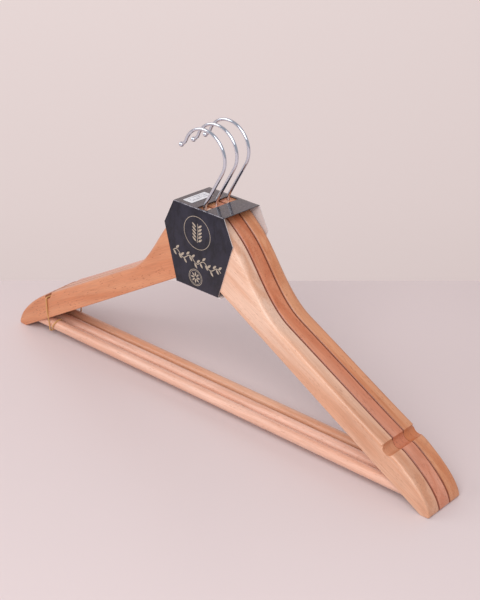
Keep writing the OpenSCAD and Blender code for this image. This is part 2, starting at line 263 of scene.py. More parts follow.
def face_out(piece):
    """Welds doubles and turns every face outwards"""
    edit(piece)
    bpy.ops.mesh.select_all(action="SELECT")
    bpy.ops.mesh.remove_doubles(threshold=0.001 * MM)
    bpy.ops.mesh.normals_make_consistent(inside=False)
    leave_edit()


def smooth(piece, degrees=35):
    """Smooth shading, with edges sharper than the angle left crisp"""
    select_only(piece)
    bpy.ops.object.shade_smooth_by_angle(angle=math.radians(degrees))


def copy_of(piece, name, shift):
    """A copy with a mesh of its own, moved along"""
    twin = piece.copy()
    twin.data = piece.data.copy()
    twin.name = name
    twin.data.name = name
    bpy.context.scene.collection.objects.link(twin)
    twin.data.transform(Matrix.Translation(shift))
    return twin


def join(name, pieces):
    """Joins pieces into one, under a new name"""
    select_only(*pieces)
    bpy.ops.object.join()
    return name_new(name)


def settle(piece, body, slot, *nodes):
    """Makes a finished piece ride on its body in place of its frame nodes"""
    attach(piece, body)
    if nodes:
        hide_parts(*nodes)


def dress(piece, *materials):
    """Gives a piece its materials, in slot order"""
    while len(piece.data.materials) < len(materials):
        piece.data.materials.append(None)
    for index, material in enumerate(materials):
        piece.material_slots[index].material = material


# ---------------------------------------------------------------- node helpers

def start_group(name, inputs, outputs):
    """A new shader node group with named sockets, and its input and output nodes"""
    group = bpy.data.node_groups.new(name, "ShaderNodeTree")
    kinds = {"v": "NodeSocketVector", "c": "NodeSocketColor", "f": "NodeSocketFloat"}
    for socket, kind, default in inputs:
        item = group.interface.new_socket(socket, in_out="INPUT", socket_type=kinds[kind])
        if default is not None:
            item.default_value = default
    for socket, kind in outputs:
        group.interface.new_socket(socket, in_out="OUTPUT", socket_type=kinds[kind])
    return group, group.nodes.new("NodeGroupInput"), group.nodes.new("NodeGroupOutput")


def place(tree, kind, **inputs):
    """Adds a node and sets or links its inputs by name"""
    node = tree.nodes.new(kind)
    for key, value in inputs.items():
        put(tree, node, key.replace("_", " "), value)
    return node


def put(tree, node, key, value):
    """Sets one input of a node, or links a socket to it"""
    socket = node.inputs[key]
    if isinstance(value, bpy.types.NodeSocket):
        tree.links.new(value, socket)
    else:
        socket.default_value = value


def maths(tree, operation, a, b=None):
    """The result of a math node"""
    node = tree.nodes.new("ShaderNodeMath")
    node.operation = operation
    put(tree, node, 0, a)
    if b is not None:
        put(tree, node, 1, b)
    return node.outputs[0]


def stretched(tree, vector, scale):
    """A vector scaled along each axis"""
    node = tree.nodes.new("ShaderNodeVectorMath")
    node.operation = "MULTIPLY"
    put(tree, node, 0, vector)
    put(tree, node, 1, scale)
    return node.outputs[0]


def noise(tree, vector, detail, roughness=0.5, distortion=0.0):
    """A noise value at unit scale"""
    node = place(tree, "ShaderNodeTexNoise", Vector=vector, Scale=1.0, Detail=detail,
                 Roughness=roughness, Distortion=distortion)
    return node.outputs["Fac"]


def band(tree, value, low, high, to_low=0.0, to_high=1.0):
    """Maps low..high to a clamped smooth range"""
    node = tree.nodes.new("ShaderNodeMapRange")
    node.interpolation_type = "SMOOTHSTEP"
    for key, item in (("Value", value), ("From Min", low), ("From Max", high),
                      ("To Min", to_low), ("To Max", to_high)):
        put(tree, node, key, item)
    return node.outputs["Result"]


def blend(tree, factor, a, b, mode="MIX"):
    """Two colours mixed"""
    node = tree.nodes.new("ShaderNodeMix")
    node.data_type = "RGBA"
    node.blend_type = mode
    put(tree, node, 0, factor)
    put(tree, node, 6, a)
    put(tree, node, 7, b)
    return node.outputs[2]


def start_material(name, **constants):
    """A material with a Principled shader whose constants are set on its own sockets"""
    material = bpy.data.materials.new(name)
    material.use_nodes = True
    tree = material.node_tree
    shader = tree.nodes["Principled BSDF"]
    for key, value in constants.items():
        shader.inputs[key.replace("_", " ")].default_value = value
    return material, tree, shader


def bump(tree, shader, height, depth):
    """Surface relief of the given depth in metres"""
    node = place(tree, "ShaderNodeBump", Height=height, Strength=1.0, Distance=depth)
    tree.links.new(node.outputs["Normal"], shader.inputs["Normal"])


def place_on(tree, location=(0, 0, 0), rotation=(0, 0, 0)):
    """Object coordinates, shifted and turned to follow a piece"""
    coordinates = tree.nodes.new("ShaderNodeTexCoord")
    mapping = tree.nodes.new("ShaderNodeMapping")
    mapping.inputs["Location"].default_value = location
    mapping.inputs["Rotation"].default_value = rotation
    tree.links.new(coordinates.outputs["Object"], mapping.inputs["Vector"])
    return mapping.outputs["Vector"]


def rgba(value):
    """A colour with full alpha"""
    return (*value, 1.0)


# ---------------------------------------------------------------- shared effects

def beech_grain():
    """Beech figure with its grain along X: soft growth bands, fibres and short flecks"""
    if "Beech Grain" in bpy.data.node_groups:
        return bpy.data.node_groups["Beech Grain"]
    group, given, result = start_group(
        "Beech Grain",
        [("Vector", "v", None), ("Tone", "c", None), ("Deep Tone", "c", None),
         ("Figure", "f", 0.5), ("Flecks", "f", 0.5), ("Sheen Roughness", "f", 0.42)],
        [("Color", "c"), ("Roughness", "f"), ("Height", "f")])
    vector = given.outputs["Vector"]
    bands = noise(group, stretched(group, vector, (9, 120, 95)), 3, 0.55, 0.6)
    bands = band(group, bands, 0.36, 0.68)
    patches = noise(group, stretched(group, vector, (14, 30, 30)), 2, 0.5, 0.2)
    patches = band(group, patches, 0.35, 0.70)
    fibres = noise(group, stretched(group, vector, (70, 1500, 1500)), 3, 0.6)
    cells = place(group, "ShaderNodeTexVoronoi",
                  Vector=stretched(group, vector, (170, 900, 900)), Scale=1.0)
    flecks = band(group, cells.outputs["Distance"], 0.10, 0.30, 1.0, 0.0)
    broken = band(group, noise(group, stretched(group, vector, (60, 200, 200)), 2), 0.42, 0.58)
    flecks = maths(group, "MULTIPLY", flecks, broken)
    tone, deep = given.outputs["Tone"], given.outputs["Deep Tone"]
    amount = maths(group, "MULTIPLY", bands, given.outputs["Figure"])
    base = blend(group, amount, tone, deep)
    lighter = blend(group, 1.0, base, (1.10, 1.09, 1.08, 1.0), "MULTIPLY")
    base = blend(group, maths(group, "MULTIPLY", patches, given.outputs["Figure"]), base, lighter)
    dark = blend(group, 1.0, deep, (0.62, 0.52, 0.48, 1.0), "MULTIPLY")
    base = blend(group, maths(group, "MULTIPLY", flecks, given.outputs["Flecks"]), base, dark)
    shade = band(group, fibres, 0.3, 0.7, 0.90, 1.06)
    join_rgb = group.nodes.new("ShaderNodeCombineColor")
    for channel in range(3):
        put(group, join_rgb, channel, shade)
    base = blend(group, 1.0, base, join_rgb.outputs[0], "MULTIPLY")
    rough = maths(group, "ADD", given.outputs["Sheen Roughness"],
                  maths(group, "MULTIPLY", maths(group, "SUBTRACT", fibres, 0.5), 0.25))
    height = maths(group, "SUBTRACT", fibres, maths(group, "MULTIPLY", flecks, 0.8))
    group.links.new(base, result.inputs["Color"])
    group.links.new(rough, result.inputs["Roughness"])
    group.links.new(height, result.inputs["Height"])
    return group


def fine_relief():
    """Slight unevenness of plated metal: roughness and height that wander over the surface"""
    if "Fine Relief" in bpy.data.node_groups:
        return bpy.data.node_groups["Fine Relief"]
    group, given, result = start_group(
        "Fine Relief",
        [("Vector", "v", None), ("Size", "f", 1500.0), ("Low", "f", 0.05), ("High", "f", 0.16)],
        [("Roughness", "f"), ("Height", "f")])
    scaled = group.nodes.new("ShaderNodeVectorMath")
    scaled.operation = "SCALE"
    group.links.new(given.outputs["Vector"], scaled.inputs[0])
    group.links.new(given.outputs["Size"], scaled.inputs["Scale"])
    wander = noise(group, scaled.outputs[0], 3, 0.6)
    rough = band(group, wander, 0.3, 0.75)
    rough_node = group.nodes.new("ShaderNodeMapRange")
    for key, item in (("Value", rough), ("To Min", given.outputs["Low"]),
                      ("To Max", given.outputs["High"])):
        put(group, rough_node, key, item)
    group.links.new(rough_node.outputs["Result"], result.inputs["Roughness"])
    group.links.new(wander, result.inputs["Height"])
    return group


def paper_fibre():
    """Fibres of card and paper: a soft mottle and its relief"""
    if "Paper Fibre" in bpy.data.node_groups:
        return bpy.data.node_groups["Paper Fibre"]
    group, given, result = start_group(
        "Paper Fibre",
        [("Vector", "v", None), ("Color", "c", None), ("Depth", "f", 0.1)],
        [("Color", "c"), ("Height", "f")])
    vector = given.outputs["Vector"]
    mottle = noise(group, stretched(group, vector, (900, 900, 900)), 4, 0.65)
    cloud = noise(group, stretched(group, vector, (130, 130, 130)), 3, 0.55)
    both = maths(group, "MULTIPLY", maths(group, "ADD", mottle, cloud), 0.5)
    shade = band(group, both, 0.35, 0.65)
    dark = blend(group, 1.0, given.outputs["Color"], (0.72, 0.72, 0.74, 1.0), "MULTIPLY")
    amount = maths(group, "MULTIPLY", shade, given.outputs["Depth"])
    group.links.new(blend(group, amount, given.outputs["Color"], dark), result.inputs["Color"])
    group.links.new(mottle, result.inputs["Height"])
    return group


def use_group(tree, group, **inputs):
    """Places a shared effect in a material"""
    node = tree.nodes.new("ShaderNodeGroup")
    node.node_tree = group
    for key, value in inputs.items():
        put(tree, node, key.replace("_", " "), value)
    return node


# ---------------------------------------------------------------- materials

def deeper(tone):
    """The darker tone of a beech board's growth bands"""
    return (tone[0] * 0.84, tone[1] * 0.66, tone[2] * 0.54, 1.0)


def beech(name, tone, end_tone, turn=0.0, shift=(0, 0, 0), figure=0.6, flecks=0.5,
          lacquer=0.35, seams=(-1.0, 1.0)):
    """Satin-lacquered beech, its grain turned to follow the piece and its tone drifting outwards.
    Beyond the two places along Y given as seams, the wood is darkened as painted shade for the
    grooves between hangers."""
    material, tree, shader = start_material(
        name, Coat_Roughness=0.22, Specular_IOR_Level=0.42)
    parts = tree.nodes.new("ShaderNodeSeparateXYZ")
    tree.links.new(place_on(tree), parts.inputs[0])
    outward = maths(tree, "ABSOLUTE", parts.outputs["X"])
    outward = band(tree, outward, 60 * MM, 190 * MM)
    grain = use_group(
        tree, beech_grain(), Vector=place_on(tree, shift, (0, turn, 0)),
        Tone=blend(tree, outward, rgba(tone), rgba(end_tone)),
        Deep_Tone=blend(tree, outward, deeper(tone), deeper(end_tone)),
        Figure=figure, Flecks=flecks, Sheen_Roughness=0.42)
    soft = 0.35 * MM
    before = band(tree, parts.outputs["Y"], seams[0] - soft, seams[0] + soft, 1.0, 0.0)
    beyond = band(tree, parts.outputs["Y"], seams[1] - soft, seams[1] + soft)
    in_seam = maths(tree, "MAXIMUM", before, beyond)
    # Painted shade: beyond the seams the wood is multiplied dark, standing in for the shadow in
    # the grooves between hangers
    painted_seam_shade = blend(tree, 1.0, grain.outputs["Color"], (0.42, 0.26, 0.20, 1.0), "MULTIPLY")
    tree.links.new(blend(tree, in_seam, grain.outputs["Color"], painted_seam_shade),
                   shader.inputs["Base Color"])
    tree.links.new(grain.outputs["Roughness"], shader.inputs["Roughness"])
    shader.inputs["Coat Weight"].default_value = lacquer
    bump(tree, shader, grain.outputs["Height"], 0.05 * MM)
    return material


def plated(name, tone, size, low, high):
    """Plated metal with a slightly uneven finish"""
    material, tree, shader = start_material(name, Metallic=1.0)
    relief = use_group(tree, fine_relief(), Vector=place_on(tree), Size=size, Low=low, High=high)
    shader.inputs["Base Color"].default_value = rgba(tone)
    tree.links.new(relief.outputs["Roughness"], shader.inputs["Roughness"])
    bump(tree, shader, relief.outputs["Height"], 0.004 * MM)
    return material


def printed_card(name, ink, worn=0.0, gloss=0.08):
    """Varnished navy print, with a faint darker brushwork under the varnish"""
    material, tree, shader = start_material(
        name, Coat_Weight=gloss, Coat_Roughness=0.05, Specular_IOR_Level=0.3)
    place_vector = place_on(tree)
    brush = noise(tree, stretched(tree, place_vector, (260, 260, 110)), 3, 0.6, 0.8)
    brush = band(tree, brush, 0.40, 0.62)
    blocks = noise(tree, stretched(tree, place_vector, (90, 90, 60)), 2, 0.5)
    blocks = band(tree, blocks, 0.45, 0.60)
    dark = tuple(channel * 0.55 for channel in ink)
    lift = tuple(channel * 1.5 + 0.006 for channel in ink)
    base = blend(tree, brush, rgba(ink), rgba(dark))
    base = blend(tree, maths(tree, "MULTIPLY", blocks, 0.5), base, rgba(lift))
    if worn:
        crack = noise(tree, stretched(tree, place_vector, (700, 700, 700)), 3, 0.7)
        crack = maths(tree, "MULTIPLY", band(tree, crack, 0.34, 0.60), worn)
        base = blend(tree, crack, base, (0.50, 0.47, 0.52, 1.0))
    fibre = use_group(tree, paper_fibre(), Vector=place_vector, Color=base, Depth=0.3)
    tree.links.new(fibre.outputs["Color"], shader.inputs["Base Color"])
    rough = band(tree, fibre.outputs["Height"], 0.3, 0.7, 0.30, 0.44)
    tree.links.new(rough, shader.inputs["Roughness"])
    bump(tree, shader, fibre.outputs["Height"], 0.01 * MM)
    return material


def raw_card(name, core):
    """Unprinted card, matt and slightly mottled"""
    material, tree, shader = start_material(name, Roughness=0.85, Specular_IOR_Level=0.3)
    fibre = use_group(tree, paper_fibre(), Vector=place_on(tree), Color=rgba(core), Depth=0.5)
    tree.links.new(fibre.outputs["Color"], shader.inputs["Base Color"])
    bump(tree, shader, fibre.outputs["Height"], 0.02 * MM)
    return material


def foil_print(name, tone):
    """Pale gold ink, slightly broken where the card shows through"""
    material, tree, shader = start_material(name, Metallic=0.25, Specular_IOR_Level=0.5)
    vector = place_on(tree)
    fade = band(tree, noise(tree, stretched(tree, vector, (900, 900, 900)), 3, 0.6), 0.25, 0.6)
    base = blend(tree, fade, rgba(tuple(channel * 0.62 for channel in tone)), rgba(tone))
    tree.links.new(base, shader.inputs["Base Color"])
    tree.links.new(band(tree, fade, 0.0, 1.0, 0.55, 0.38), shader.inputs["Roughness"])
    return material


def label_paper(name, paper, centre, size):
    """White label with rows of faint grey rules, as on any stock label"""
    material, tree, shader = start_material(name, Roughness=0.55, Specular_IOR_Level=0.45)
    vector = place_on(tree, (-centre.x, -centre.y, 0))
    parts = tree.nodes.new("ShaderNodeSeparateXYZ")
    tree.links.new(vector, parts.inputs[0])
    across, along = parts.outputs["X"], parts.outputs["Y"]
    rows = maths(tree, "FRACT", maths(tree, "MULTIPLY", across, 1 / (2.3 * MM)))
    row = maths(tree, "GREATER_THAN", rows, 0.42)
    dashes = noise(tree, stretched(tree, vector, (700, 420, 1)), 2, 0.8)
    dash = band(tree, dashes, 0.46, 0.52)
    inside = maths(tree, "LESS_THAN", maths(tree, "ABSOLUTE", along), size.y * 0.40)
    inside_x = maths(tree, "LESS_THAN", maths(tree, "ABSOLUTE", across), size.x * 0.36)
    ink = maths(tree, "MULTIPLY", maths(tree, "MULTIPLY", row, dash),
                maths(tree, "MULTIPLY", inside, inside_x))
    base = blend(tree, maths(tree, "MULTIPLY", ink, 0.75), rgba(paper), (0.26, 0.26, 0.30, 1.0))
    fibre = use_group(tree, paper_fibre(), Vector=vector, Color=base, Depth=0.12)
    tree.links.new(fibre.outputs["Color"], shader.inputs["Base Color"])
    bump(tree, shader, fibre.outputs["Height"], 0.01 * MM)
    return material


def elastic_cover(name, amber):
    """Braided cover of the elastic: crossing threads over its length"""
    material, tree, shader = start_material(
        name, Roughness=0.6, Sheen_Weight=0.3, Sheen_Roughness=0.4, Specular_IOR_Level=0.4)
    vector = place_on(tree)
    waves = []
    for turn in (math.radians(35), math.radians(-35)):
        mapping = tree.nodes.new("ShaderNodeMapping")
        mapping.inputs["Rotation"].default_value = (turn, 0, turn)
        mapping.inputs["Scale"].default_value = (2600, 2600, 2600)
        tree.links.new(vector, mapping.inputs["Vector"])
        wave = place(tree, "ShaderNodeTexWave", Vector=mapping.outputs[0], Scale=0.35)
        waves.append(wave.outputs["Fac"])
    weave = maths(tree, "MAXIMUM", *waves)
    dark = tuple(channel * 0.55 for channel in amber)
    tree.links.new(blend(tree, weave, rgba(dark), rgba(amber)), shader.inputs["Base Color"])
    bump(tree, shader, weave, 0.05 * MM)
    return material


def stage_surface(name, tone, roughness, specular, glow=(0.0, 0.0, 0.0)):
    """Plain painted surface for the table and the backdrop"""
    material, tree, shader = start_material(
        name, Roughness=roughness, Specular_IOR_Level=specular, Emission_Strength=1.0)
    shader.inputs["Base Color"].default_value = rgba(tone)
    shader.inputs["Emission Color"].default_value = rgba(glow)
    return material


# ---------------------------------------------------------------- arms

ARM_SLOPE = math.radians(29)
NOTCH_FROM_TIP = 44.3 * MM
NOTCH_R = 5.2 * MM
NOTCH_SINK = 1.7 * MM
PROFILE_STEPS = 6


def front_outline(node):
    """An arm's outline in its front face, from the top of the neck joint round to the arch"""
    shape = bmesh.new()
    shape.from_mesh(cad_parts[node].data)
    bmesh.ops.remove_doubles(shape, verts=shape.verts, dist=0.001 * MM)
    shape.normal_update()
    face_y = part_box(node)[0].y + 0.01 * MM
    links = {}
    for edge in shape.edges:
        fronts = [face for face in edge.link_faces if face.normal.y < -0.99]
        if len(fronts) == 1 and max(vert.co.y for vert in edge.verts) < face_y:
            for near, far in (edge.verts, reversed(edge.verts)):
                links.setdefault(near, []).append(far)
    joint = [vert for vert in links if abs(vert.co.x) < 0.01 * MM]
    here = max(joint, key=lambda vert: vert.co.z)
    following = max(links[here], key=lambda vert: abs(vert.co.x))
    chain = [here, following]
    while abs(chain[-1].co.x) > 0.01 * MM:
        a, b = links[chain[-1]]
        chain.append(b if a is chain[-2] else a)
    points = [Vector((vert.co.x, vert.co.z)) for vert in chain]
    shape.free()
    return points


def without_notch(points):
    """The outline as it was before the strap notch was cut"""
    near = HALF_W - NOTCH_FROM_TIP + 0.02 * MM
    far = HALF_W - NOTCH_FROM_TIP + 2 * NOTCH_R - 0.02 * MM
    foot = WOOD_LOW.z + 30 * MM
    return [point for point in points if not (near < abs(point.x) < far and point.y > foot)]


def rounding_at(wood, point, on_top):
    """Rounding of an arm's edges at a point of its outline"""
    x, height = abs(point.x), point.y - WOOD_LOW.z
    shoulder, crest = 60 * MM, 14 * MM
    notch = HALF_W - NOTCH_FROM_TIP
    if not on_top:
        return wood.under_round
    if x < crest:
        return wood.end_round
    if x < 2 * crest:
        return wood.end_round + (wood.neck_round - wood.end_round) * (x - crest) / crest
    if x < shoulder:
        return wood.neck_round
    if x < notch:
        part = (x - shoulder) / (notch - shoulder)
        return wood.neck_round + (wood.end_round - wood.neck_round) * part
    part = min(1.0, height / (30 * MM))
    return wood.tip_round + (wood.end_round - wood.tip_round) * part


def inward(points, index):
    """Direction into the wood at a point of the outline, long enough to keep the offset even"""
    point = points[index]
    ways = []
    if index > 0:
        ways.append((point - points[index - 1]).normalized())
    if index < len(points) - 1:
        ways.append((points[index + 1] - point).normalized())
    turn = 1 if points[1].x > points[0].x else -1
    sides = [Vector((way.y, -way.x)) * turn for way in ways]
    if len(sides) == 1:
        straight = Vector((0, -1 if index == 0 else 1))
        return straight / max(0.2, straight.dot(sides[0]))
    middle = (sides[0] + sides[1]).normalized()
    return middle / max(0.35, middle.dot(sides[0]))


def side_profile(point, inside, r):
    """Half of the way through the thickness at a point of the outline, as points and distances
    from the middle plane, with the edge rounded"""
    half = []
    for step in range(PROFILE_STEPS + 1):
        angle = math.pi / 2 * step / PROFILE_STEPS
        at = point + inside * r * (1 - math.sin(angle))
        half.append((at, WOOD_T / 2 - r * (1 - math.cos(angle))))
    return half


def rounded_blank(name, points, wood, y, shares):
    """An arm's blank: its outline carried through the thickness with its edges rounded. The
    shares are those of the rounding on the front and the back face."""
    shape = bmesh.new()
    rows = []
    lowest = min(range(len(points)), key=lambda i: (points[i].y, -abs(points[i].x)))
    for index, point in enumerate(points):
        r = rounding_at(wood, point, index <= lowest)
        inside = inward(points, index)
        front, back = (side_profile(point, inside, r * share) for share in shares)
        row = [shape.verts.new((at.x, y - off, at.y)) for at, off in front]
        row += [shape.verts.new((at.x, y + off, at.y)) for at, off in reversed(back)]
        rows.append(row)
    for row, following in zip(rows, rows[1:]):
        for index in range(len(row) - 1):
            shape.faces.new((row[index], row[index + 1], following[index + 1],
                             following[index]))
    shape.faces.new([row[0] for row in rows])
    shape.faces.new([row[-1] for row in reversed(rows)])
    shape.faces.new(list(reversed(rows[0])) + rows[-1])
    if shape.calc_volume(signed=True) < 0:
        bmesh.ops.reverse_faces(shape, faces=shape.faces)
    mesh = bpy.data.meshes.new(name)
    shape.to_mesh(mesh)
    shape.free()
    return add_object(name, mesh)


def round_cutter(radius, depth, at, axis):
    """A cylinder to cut with, along X, Y or Z"""
    bpy.ops.object.select_all(action="DESELECT")
    turns = {"X": (0, math.pi / 2, 0), "Y": (math.pi / 2, 0, 0), "Z": (0, 0, 0)}
    bpy.ops.mesh.primitive_cylinder_add(vertices=64, radius=radius, depth=depth, location=at,
                                        rotation=turns[axis])
    cutter = name_new("cutter")
    bake_place(cutter)
    return cutter


def notch_cutter(side, y):
    """A round-bottomed cutter for the strap notch, open at the top"""
    centre = Vector((side * (HALF_W - NOTCH_FROM_TIP + NOTCH_R), y, notch_height() - NOTCH_SINK))
    cutter = round_cutter(NOTCH_R, WOOD_T * 2, centre, "Y")
    edit(cutter)
    pick(cutter, "verts", lambda vert: vert.co.z > centre.z + 0.01 * MM)
    bpy.ops.transform.translate(value=(0, 0, 4 * NOTCH_R))
    leave_edit()
    return cutter


def notch_height():
    """Height of the top edge at the notch's upper corner"""
    corner = HALF_W - NOTCH_FROM_TIP
    near = [point for point in front_outline("middle_right_arm")
            if abs(point.x - corner) < 0.2 * MM]
    return max(point.y for point in near)


def arm_cutters(hanger, side):
    """Everything that is cut out of an arm: notch, hook seat, dowel holes, bar bore, brad hole"""
    y = hanger_y(hanger)
    washer_low, washer_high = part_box(f"{hanger}_hook_washer")
    dowel_low, dowel_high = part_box(f"{hanger}_neck_dowels")
    bar_low, bar_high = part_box(f"{hanger}_trouser_bar")
    brad_low, brad_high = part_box(f"{hanger}_bar_brads")
    wire_r = bpy.context.scene.hanger_set.hook.wire / 2
    dowel_r = (dowel_high.y - dowel_low.y) / 2
    bar_r = (bar_high.z - bar_low.z) / 2
    brad_r = (brad_high.z - brad_low.z) / 2
    pocket_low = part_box(f"{hanger}_hook")[0].z - 1 * MM
    yield notch_cutter(side, y)
    yield round_cutter(wire_r + 0.08 * MM, 80 * MM, (0, y, washer_low.z + 40 * MM), "Z")
    yield round_cutter((washer_high.x - washer_low.x) / 2 + 0.3 * MM,
                       washer_high.z - pocket_low, (0, y, (washer_high.z + pocket_low) / 2), "Z")
    for z in (dowel_low.z + dowel_r, dowel_high.z - dowel_r):
        yield round_cutter(dowel_r, dowel_high.x - dowel_low.x, (0, y, z), "X")
    yield round_cutter(bar_r, bar_high.x - bar_low.x, (0, y, bar_low.z + bar_r), "X")
    yield round_cutter(brad_r, 0.7 * MM * 2, (side * (brad_high.x - brad_r), y + WOOD_T / 2,
                                              brad_low.z + brad_r), "Y")


def cut_with(piece, cutters):
    """Cuts a piece with each cutter in turn"""
    for cutter in cutters:
        finish_with(piece, "BOOLEAN", object=cutter, operation="DIFFERENCE", solver="EXACT")
        bpy.data.objects.remove(cutter)


def mark_notch(piece, side):
    """Gives the wall and the round floor of the strap notch the second material slot"""
    corner, height = HALF_W - NOTCH_FROM_TIP, notch_height()
    while len(piece.data.materials) < 2:
        piece.data.materials.append(None)
    for face in piece.data.polygons:
        x, z = side * face.center.x - corner, face.center.z - height
        on_floor = math.hypot(x - NOTCH_R, z + NOTCH_SINK) < NOTCH_R + 0.05 * MM
        on_wall = abs(x) < 0.05 * MM and abs(z) < 2 * MM
        if (on_floor or on_wall) and abs(face.normal.y) < 0.5:
            face.material_index = 1


def shaped_arm(hanger, side, wood):
    """One arm, rounded, then notched and bored, with crisp edges only where it was cut"""
    word = "right" if side > 0 else "left"
    points = without_notch(front_outline(f"middle_{word}_arm"))
    shares = (1.0 if hanger == "front" else wood.seam_share,
              1.0 if hanger == "back" else wood.seam_share)
    piece = rounded_blank(f"{hanger}_{word}_arm_wood", points, wood, hanger_y(hanger), shares)
    cut_with(piece, arm_cutters(hanger, side))
    mark_notch(piece, side)
    smooth(piece, 38)
    finish_with(piece, "WEIGHTED_NORMAL", weight=50, keep_sharp=True)
    return piece


class HANGERS_OT_arms(bpy.types.Operator):
    """Round the beech arms and give each its own board"""

    bl_idname = "hangers.arms"
    bl_label = "Beech Arms"

    def execute(self, context):
        wood = context.scene.hanger_set.wood
        tones = {
            ("front", "left"): (wood.red, wood.red, 0.8, 0.9),
            ("front", "right"): (wood.pale, wood.tan, 0.8, 0.5),
            ("middle", "left"): (wood.golden, wood.golden, 0.9, 0.6),
            ("middle", "right"): (wood.brown, wood.pink, 0.9, 0.7),
            ("back", "left"): (wood.pink, wood.pink, 0.9, 0.6),
            ("back", "right"): (wood.golden, wood.golden, 1.0, 0.7),
        }
        for index, ((hanger, side), (tone, end_tone, figure, flecks)) in enumerate(tones.items()):
            piece = shaped_arm(hanger, SIDES[side], wood)
            turn = -SIDES[side] * ARM_SLOPE
            shift = (0.37 * index, 0.11 * index, 0.23 * index)
            # The notch faces take the deeper tone of cut end grain with painted light over it:
            # the left notches are darkened as painted shade, the right ones lifted slightly as
            # painted light
            shade = 1.05 if side == "right" else 0.62
            notch_tone_with_painted_light = tuple(channel * shade for channel in deeper(end_tone)[:3])
            # Seams just inside each face that meets another hanger: beyond them the wood gets
            # painted shade for the groove
            y, reach = hanger_y(hanger), WOOD_T / 2 - 0.75 * MM
            seams = (-1.0 if hanger == "front" else y - reach,
                     1.0 if hanger == "back" else y + reach)
            dress(piece, beech(f"Beech {hanger} {side}", tone, end_tone, turn, shift, figure,
                               flecks, seams=seams),
                  beech(f"Cut beech {hanger} {side}", notch_tone_with_painted_light, notch_tone_with_painted_light, turn, shift, 0.4,
                        flecks, 0.1))
            settle(piece, SET_BODY, f"beech_{hanger}", f"{hanger}_{side}_arm")
        return {"FINISHED"}


# ---------------------------------------------------------------- bars and hidden parts

class HANGERS_OT_bars(bpy.types.Operator):
    """Give the trouser bars their beech finish"""

    bl_idname = "hangers.bars"
    bl_label = "Trouser Bars"

    def execute(self, context):
        wood = context.scene.hanger_set.wood
        for index, (hanger, tone) in enumerate(zip(HANGERS, (wood.rosy, wood.rosy, wood.tan))):
            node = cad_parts[f"{hanger}_trouser_bar"]
            dress(node, beech(f"Beech bar {hanger}", tone, tone, 0.0,
                              (0.41 * index, 0.07, 0.19 * index), 0.6, 0.5))
        return {"FINISHED"}


class HANGERS_OT_hardware(bpy.types.Operator):
    """Finish the dowels, washers and brads inside the wood"""

    bl_idname = "hangers.hardware"
    bl_label = "Inner Hardware"

    def execute(self, context):
        wood = context.scene.hanger_set.wood
        raw = beech("Raw beech dowel", wood.golden, wood.golden, 0.0, (0.5, 0.2, 0.1), 0.5, 0.6,
                    0.0)
        zinc = plated("Zinc plate", (0.45, 0.46, 0.48), 2500, 0.28, 0.45)
        for hanger in HANGERS:
            dress(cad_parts[f"{hanger}_neck_dowels"], raw)
            dress(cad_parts[f"{hanger}_hook_washer"], zinc)
            dress(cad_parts[f"{hanger}_bar_brads"], zinc)
        return {"FINISHED"}


# ---------------------------------------------------------------- hooks

WIRE_SIDES = 24
STEM_STEPS, ROUND_STEPS, TIP_STEPS, BALL_STEPS = 10, 72, 8, 12


def draw_out(direction, distance):
    """Extrudes the open end of a wire straight on"""
    pull(direction * distance)


def bend(centre, angle, steps):
    """Carries the open end of a wire round a centre; spin turns against the axis given"""
    bpy.ops.mesh.spin(steps=steps, angle=-angle, center=tuple(centre), axis=(0, 1, 0))


def narrow(centre, factor):
    """Scales the open end of a wire about its own centre"""
    bpy.ops.transform.resize(value=(factor, factor, factor), center_override=tuple(centre))


